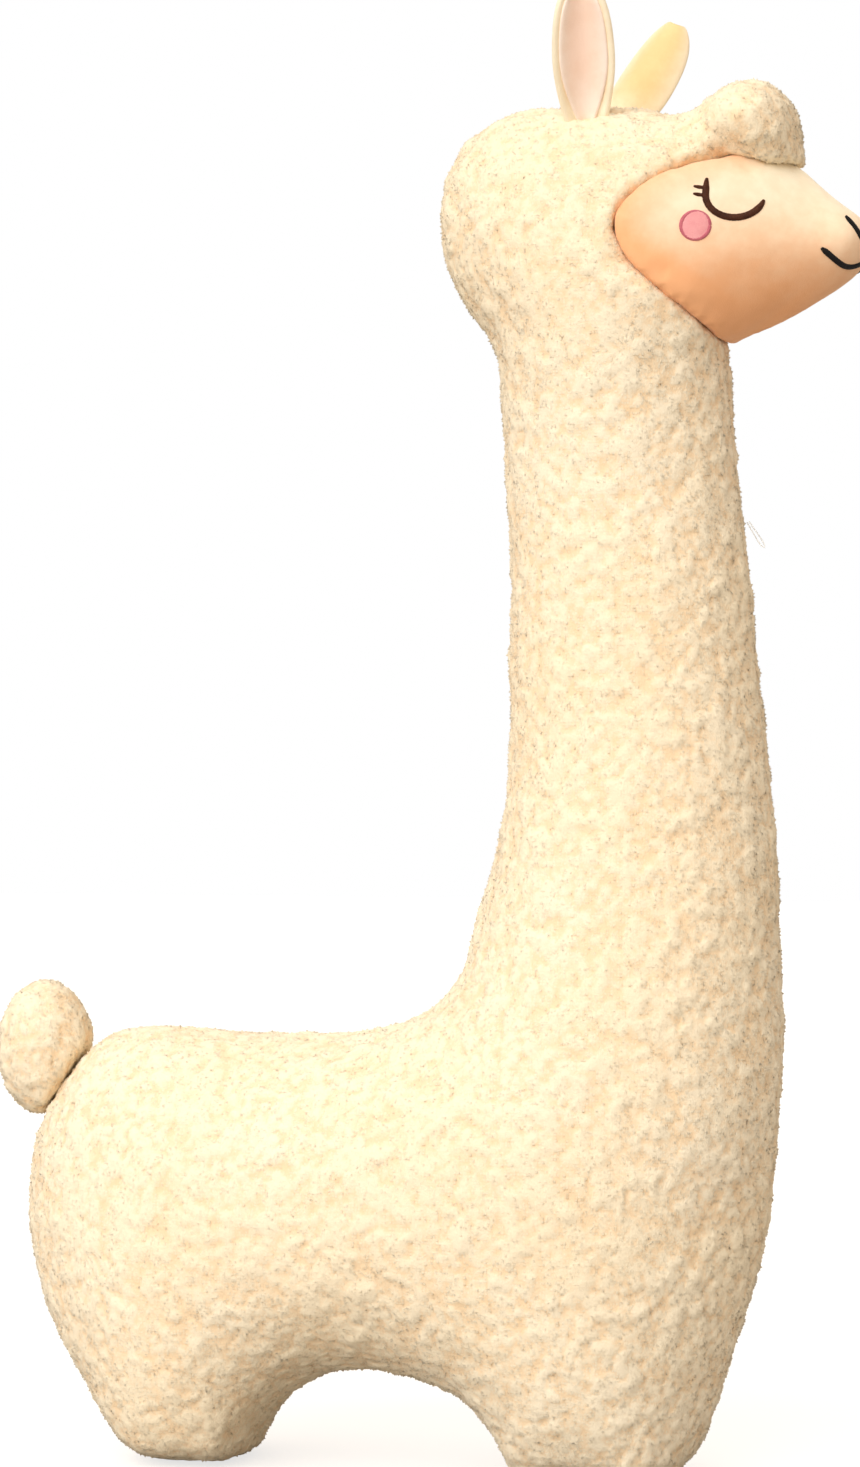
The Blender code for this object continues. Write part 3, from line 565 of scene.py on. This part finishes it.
def make_fleece(finish):
    """The fleece cover, stuffed, with the forelock sewn on: six parts that meet inside the pile."""
    cover = cut_out("cover", COVER_GRAIN, "body", "forelock")
    hood, puff = Surface(nodes["body"]), Surface(nodes["forelock"])
    rest = corners(cover)
    off_hood, off_puff = hood.distance(rest), puff.distance(rest)
    # The crease between hood and forelock is evened out, as both are one cloth here.
    join = np.clip(1.6 - np.maximum(off_hood, off_puff) / 0.007, 0, 1)
    soften(cover, join, 25)
    rest = corners(cover)
    held = 0.9 * middle_seam(rest) * (off_puff > 0.01)
    held = np.maximum(held, np.clip(1 - (rest[:, 2] - 0.004) / 0.01, 0, 1))
    stuff(cover, held, shrink=0.0020, reach=0.0045)
    apply(cover, "SUBSURF", levels=2, render_levels=2)
    points = corners(cover)
    round_face = np.zeros(len(points))
    near = np.nonzero((points[:, 2] > 0.54) & (points[:, 0] > 0.09))[0]
    round_face[near] = np.clip(1.15 - Surface(nodes["face"]).distance(points[near]) / 0.006, 0, 1)
    raise_pile(cover, middle_seam, WELT * round_face)

    middle = corners(cover)[quads_of(cover)].mean(1)
    top = np.zeros(len(middle), bool)
    near = np.nonzero((middle[:, 2] > 0.63) & (middle[:, 0] > 0.12))[0]
    top[near] = puff.distance(middle[near]) < hood.distance(middle[near])
    low = middle[:, 2] < NECK_START
    for name, node, chosen in (
            ("hind_fleece", "body", low & (middle[:, 0] < HIND_END)),
            ("middle_fleece", "body", low & (middle[:, 0] >= HIND_END) & (middle[:, 0] < FRONT_START)),
            ("front_fleece", "body", low & (middle[:, 0] >= FRONT_START)),
            ("neck_fleece", "body", ~low & (middle[:, 2] < HOOD_START)),
            ("hood_fleece", "body", ~top & (middle[:, 2] >= HOOD_START)),
            ("forelock_fleece", "forelock", top)):
        dress(cover_part(name, cover, chosen), finish, "cream_fleece", node, fill=0.8)
    bpy.data.objects.remove(cover)


def make_tail(finish):
    tail = cut_out("tail", TAIL_GRAIN, "tail")
    stuff(tail, np.zeros(len(tail.data.vertices)), shrink=0.0015, reach=0.0030)
    apply(tail, "SUBSURF", levels=2, render_levels=2)
    raise_pile(tail, no_seam)
    piece = cover_part("tail_fleece", tail, np.ones(len(tail.data.polygons), bool))
    bpy.data.objects.remove(tail)
    dress(piece, finish, "cream_fleece", "tail", fill=0.75)


def soften(piece, weight, rounds):
    """Evens out the chosen points by drawing each towards its neighbours."""
    ends = np.empty(len(piece.data.edges) * 2, np.int32)
    piece.data.edges.foreach_get("vertices", ends)
    one, two = ends.reshape(-1, 2).T
    points = corners(piece)
    number = np.bincount(np.concatenate([one, two]), minlength=len(points))[:, None]
    for _ in range(rounds):
        total = np.zeros_like(points)
        np.add.at(total, one, points[two])
        np.add.at(total, two, points[one])
        points += (total / number - points) * weight[:, None] * 0.6
    move_to(piece, points)


def make_face(finish):
    """The face panel, one peach cloth: painted shade makes it deeper peach under the jaw and along the
    hood's seam, painted light makes it cream on the brow and the muzzle.
    """
    face = cut_out("face_velour", FACE_GRAIN, "face")
    muzzle_tip = np.clip((corners(face)[:, 0] - 0.195) / 0.015, 0, 1)
    soften(face, muzzle_tip, 8)
    stuff(face, np.zeros(len(face.data.vertices)), shrink=0.0003, reach=0.0010)
    apply(face, "SUBSURF", levels=1, render_levels=1)
    face.data.shade_smooth()
    points = corners(face)
    # painted shadow that the fleece at the hood's seam casts on the face, within 20 mm of it
    hood_shadow_on_face = np.clip(1 - Surface(nodes["body"]).distance(points) / 0.020, 0, 1)
    to_muzzle = np.clip((points[:, 0] - 0.19) / 0.03, 0, 1)
    jaw, brow = 0.577, 0.651
    # painted light and shade: the tone rises with height towards the brow and sinks near the hood's seam
    note(face.data, "tone", (points[:, 2] - jaw + 0.006 * to_muzzle) / (brow - jaw) - 0.60 * hood_shadow_on_face)
    return dress(face, finish, "peach_velour", "face", fill=0.85)


def leaf_of_ear(name, place, half_width, base, length, thickness, lift):
    """A cupped leaf of cloth with a rounded edge, hollow towards -Y before it is put in its place."""
    bpy.ops.object.select_all(action="DESELECT")
    bpy.ops.mesh.primitive_grid_add(x_subdivisions=8, y_subdivisions=16, size=2)
    leaf = bpy.context.object
    leaf.name = name
    grid = corners(leaf)
    across = grid[:, 0]
    share = 1 - (1 - (grid[:, 1] + 1) / 2) ** 1.5
    width = half_width * (base + (1 - base) * np.sin(np.pi / 2 * np.minimum(1, share / 0.52)))
    width *= np.sqrt(1 - 0.97 * share ** 5)
    fold = EAR_CUP * across ** 2 * width / EAR_HALF_WIDTH
    move_to(leaf, np.stack([across * width, lift - fold, share * length], 1))
    # painted shade in the ear's cup: the tone is low, for the warm colour, in the middle of the leaf above
    # its base, and high, pale, at the edges and the base
    note(leaf.data, "tone", np.maximum(np.abs(across) ** 2, np.clip(1.1 - share / 0.45, 0, 1)))
    apply(leaf, "SOLIDIFY", thickness=thickness, offset=-1)
    apply(leaf, "SUBSURF", levels=2, render_levels=2)
    leaf.data.transform(place)
    leaf.data.shade_smooth()
    leaf.select_set(False)
    return leaf


def make_ear(side, sign, lean, velour, pink):
    """A velour back whose edges come forwards round a pink lining, standing out of the hood."""
    place = Matrix.Translation((EAR_ROOT.x, sign * EAR_ROOT.y, EAR_ROOT.z)) \
        @ Matrix.Rotation(math.radians(lean), 4, "Y") \
        @ Matrix.Rotation(math.radians(-sign * EAR_SPLAY), 4, "X") \
        @ Matrix.Rotation(math.radians(EAR_TURN if sign < 0 else 180 - EAR_TURN), 4, "Z")
    back = leaf_of_ear(f"{side}_ear_velour", place, half_width=EAR_HALF_WIDTH, base=0.60,
                       length=EAR_LENGTH, thickness=0.0035, lift=0.0)
    dress(back, velour, "peach_velour", f"{side}_ear")
    lining = leaf_of_ear(f"{side}_ear_pink", place, half_width=EAR_HALF_WIDTH * 0.80, base=0.25,
                         length=EAR_LENGTH * 0.965, thickness=0.0022, lift=-0.0010)
    dress(lining, pink, "pink_lining", f"{side}_ear_lining")


def spun_arch(sides, steps):
    """The model stitch: thread spun into a half ring from side to side, standing on its two ends."""
    bpy.ops.object.select_all(action="DESELECT")
    bpy.ops.mesh.primitive_circle_add(vertices=sides, radius=ARCH_THREAD, fill_type="NGON",
                                      location=(1, 0, 0))
    arch = bpy.context.object
    bpy.ops.object.transform_apply(location=True, rotation=True, scale=True)
    bpy.ops.object.mode_set(mode="EDIT")
    bpy.ops.mesh.select_all(action="SELECT")
    bpy.ops.mesh.spin(steps=steps, angle=-math.pi, center=(0, 0, 0), axis=(0, -1, 0))
    bpy.ops.mesh.select_all(action="SELECT")
    bpy.ops.mesh.remove_doubles(threshold=1e-5)
    bpy.ops.mesh.normals_make_consistent(inside=False)
    bpy.ops.object.mode_set(mode="OBJECT")
    return arch


def even_steps(path, pitch):
    """The (place, normal) pairs of a path again, every pitch along it."""
    run = [0.0]
    for (one, _), (two, _) in zip(path, path[1:]):
        run.append(run[-1] + (two - one).length)
    count = max(2, round(run[-1] / pitch))
    stops = np.linspace(0, run[-1], count + 1)
    flat = np.array([[*place, *normal] for place, normal in path])
    rows = np.stack([np.interp(stops, run, column) for column in flat.T], 1)
    return [(Vector(row[:3]), Vector(row[3:]).normalized()) for row in rows]


def satin_line(stitch, path, width, rise=0.0011, taper=4):
    """Copies of the stitch side by side along a path, each a hair uneven; gives their meshes."""
    made = []
    steps = even_steps(path, STITCH_PITCH)
    for index, (place, normal) in enumerate(steps):
        before, after = steps[max(0, index - 1)][0], steps[min(len(steps) - 1, index + 1)][0]
        across = normal.cross(after - before).normalized()
        along = across.cross(normal)
        wobble = math.sin(index * 2.4) * 0.03 + math.sin(index * 5.1) * 0.02
        nearest = min(index, len(steps) - 1 - index)
        half = width / 2 * (1 + wobble) * (0.45 + 0.55 * min(1, nearest / taper) ** 0.7)
        shape = across * half, along * THREAD / ARCH_THREAD, normal * rise * (1 + wobble)
        axes = Matrix(shape).transposed().to_4x4()
        copy = stitch.data.copy()
        copy.transform(Matrix.Translation(place - normal * SUNK) @ axes)
        made.append(copy)
    return made


def joined(name, meshes, finish, slot, *replaced):
    """All the meshes of one embroidered line as one piece."""
    pieces = [put_in_scene(name, mesh) for mesh in meshes]
    bpy.ops.object.select_all(action="DESELECT")
    for obj in pieces:
        obj.select_set(True)
    bpy.context.view_layer.objects.active = pieces[0]
    bpy.ops.object.join()
    piece = bpy.context.object
    piece.name = name
    piece.data.shade_smooth()
    piece.select_set(False)
    dress(piece, finish, slot, *replaced)


def round_thread(name, places, radius, resolution):
    """A curve of round thread through the given places, closed at both ends."""
    curve = bpy.data.curves.new(name, "CURVE")
    curve.dimensions = "3D"
    curve.bevel_depth = radius
    curve.bevel_resolution = resolution
    curve.use_fill_caps = True
    spline = curve.splines.new("POLY")
    spline.points.add(len(places) - 1)
    for point, place in zip(spline.points, places):
        point.co = (*place, 1)
    return put_in_scene(name, curve)


def padding(path, rise):
    """The underlay thread that fills a satin line from inside, as a mesh."""
    obj = round_thread("padding", [place - normal * SUNK for place, normal in path], rise * 0.8, 1)
    mesh = bpy.data.meshes.new_from_object(obj)
    bpy.data.objects.remove(obj)
    return mesh


def make_eye(side, sign, skin, stitch, finish):
    """A closed eye: a hanging arc that runs on up at its rear end, with two lashes there."""
    half, depth = 0.0135, 0.0185 * 0.62

    def arc(share):
        turn = math.radians(190 + 156 * share)
        return EYE_CENTRE.x + half * math.cos(turn), EYE_CENTRE.z + depth * (1 + math.sin(turn))

    x, z = arc(0)
    stem = [skin.from_side(x - 0.0002, z + 0.0097 * (1 - step / 8), sign) for step in range(8)]
    lid = stem + [skin.from_side(*arc(step / 40), sign) for step in range(41)]
    meshes = satin_line(stitch, lid, LID_WIDTH, taper=12) + [padding(lid[2:-2], PADDING)]
    for count in range(2):
        height = z + 0.0052 - count * 0.0038
        lash = [skin.from_side(x + 0.0008 - 0.0066 * step / 8, height + 0.0008 * (step / 8) ** 2, sign)
                for step in range(9)]
        meshes += satin_line(stitch, lash, LASH_WIDTH, LOW_RISE) + [padding(lash[1:-1], LASH_PADDING)]
    joined(f"{side}_eye_stitching", meshes, finish, "brown_thread", f"{side}_eye")


def make_cheek(side, sign, skin, stitch, finish, rim_finish):
    """A round blush: rows of long stitches, and a border of short ones round it."""
    rows = []
    count = round(2 * CHEEK_RADIUS / STITCH_PITCH)
    for row in range(count):
        across = -CHEEK_RADIUS + CHEEK_RADIUS * 2 * (row + 0.5) / count
        half = math.sqrt(max(0, CHEEK_RADIUS ** 2 - across ** 2)) * (1 + 0.015 * math.sin(row * 2.9))
        path = []
        for step in range(9):
            reach = half * (step / 4 - 1)
            place, normal = skin.from_side(CHEEK_CENTRE.x + reach * 0.94 + across * 0.34,
                                           CHEEK_CENTRE.z - reach * 0.34 + across * 0.94, sign)
            lift = 0.0007 * math.sqrt(max(0, 1 - (reach / CHEEK_RADIUS) ** 2)) + 0.0001
            path.append((place + normal * lift, normal))
        rows.append(padding(path, THREAD * 1.15 / 0.8))
    joined(f"{side}_cheek_stitching", rows, finish, "pink_thread", f"{side}_cheek")
    ring = []
    for step in range(73):
        turn = math.tau * step / 72
        ring.append(skin.from_side(CHEEK_CENTRE.x + CHEEK_RADIUS * math.cos(turn),
                                   CHEEK_CENTRE.z + CHEEK_RADIUS * math.sin(turn), sign))
    border = satin_line(stitch, ring, CHEEK_BORDER_WIDTH, LOW_RISE, taper=0.1)
    joined(f"{side}_cheek_border", border, rim_finish, "pink_thread")


def make_nose_and_mouth(skin, stitch, finish):
    """The two nose lines that run down to the middle and the mouth's two arcs, wrapped round the muzzle."""
    def wrapped(name, spread, height, width, node):
        shares = np.linspace(-1, 1, 61)
        path = [skin.from_front(spread * share, height(abs(share))) for share in shares]
        meshes = satin_line(stitch, path, width, taper=6) + [padding(path[1:-1], PADDING)]
        joined(name, meshes, finish, "black_thread", node)

    def nose_height(share):
        return 0.608 + 0.0158 * share ** 2.4

    def mouth_height(share):
        return 0.6036 + 0.0040 * share - 0.0060 * math.sin(math.pi * share)

    wrapped("nose_stitching", 36, nose_height, NOSE_WIDTH, "nose")
    wrapped("mouth_stitching", 71, mouth_height, MOUTH_WIDTH, "mouth")


def make_tag_loop(finish):
    """The clear loop of a swing tag: both strands come out of the front seam and hang forwards."""
    root = Vector((0.16547, 0, 0.47596))
    along, across = Vector((0.54, 0, -0.84)), Vector((0.84, 0, 0.54))
    turn = np.linspace(0, math.pi, 300)
    reach = 0.0155 * np.sin(turn) ** 0.6
    width = np.cos(turn) * (0.0006 + 0.0010 * np.sin(turn))
    run = np.concatenate([[0], np.cumsum(np.hypot(np.diff(reach), np.diff(width)))])
    stops = np.linspace(0, run[-1], round(run[-1] / (5 * TAG_THREAD)))
    far, wide = np.interp(stops, run, reach), np.interp(stops, run, width)
    places = [root + along * one + across * two for one, two in zip(far, wide)]
    loop = round_thread("tag_thread", places, TAG_THREAD, 3)
    loop.data.materials.append(finish)
    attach(loop, "root")
    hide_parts("tag_loop")


def main():
    bpy.context.scene.view_settings.view_transform = "Standard"
    place_camera()
    make_tag_loop(nylon_finish())
    lay_floor()
    light_stage()
    bpy.ops.object.select_all(action="DESELECT")

    fleece = fleece_finish()
    make_fleece(fleece)
    make_tail(fleece)

    # the face's warm colour is painted shade and its pale colour is painted light
    face = make_face(velour_finish("peach velour", (0.98, 0.50, 0.25, 1), (0.965, 0.87, 0.67, 1)))
    # the warm colours of the ear's back and lining are painted shade in the ear's cup
    ear_back = velour_finish("ear velour", (0.97, 0.66, 0.34, 1), (0.975, 0.88, 0.68, 1))
    ear_pink = velour_finish("pink lining", (0.975, 0.74, 0.61, 1), (0.975, 0.83, 0.73, 1))
    make_ear("right", -1, 2, ear_back, ear_pink)
    make_ear("left", 1, 28, ear_back, ear_pink)

    skin = Surface(face)
    brown = thread_finish("brown thread", (0.040, 0.012, 0.006, 1), (0.105, 0.034, 0.015, 1), 0.0)
    pink = thread_finish("pink thread", (0.84, 0.36, 0.38, 1), (0.90, 0.46, 0.46, 1), 0.1)
    rose = thread_finish("rose thread", (0.54, 0.13, 0.18, 1), (0.66, 0.20, 0.24, 1), 0.1)
    black = thread_finish("black thread", (0.004, 0.003, 0.003, 1), (0.011, 0.008, 0.007, 1), 0.0)
    stitch = spun_arch(6, 7)
    for side, sign in (("right", -1), ("left", 1)):
        make_eye(side, sign, skin, stitch, brown)
        make_cheek(side, sign, skin, stitch, pink, rose)
    make_nose_and_mouth(skin, stitch, black)
    bpy.data.objects.remove(stitch)


main()
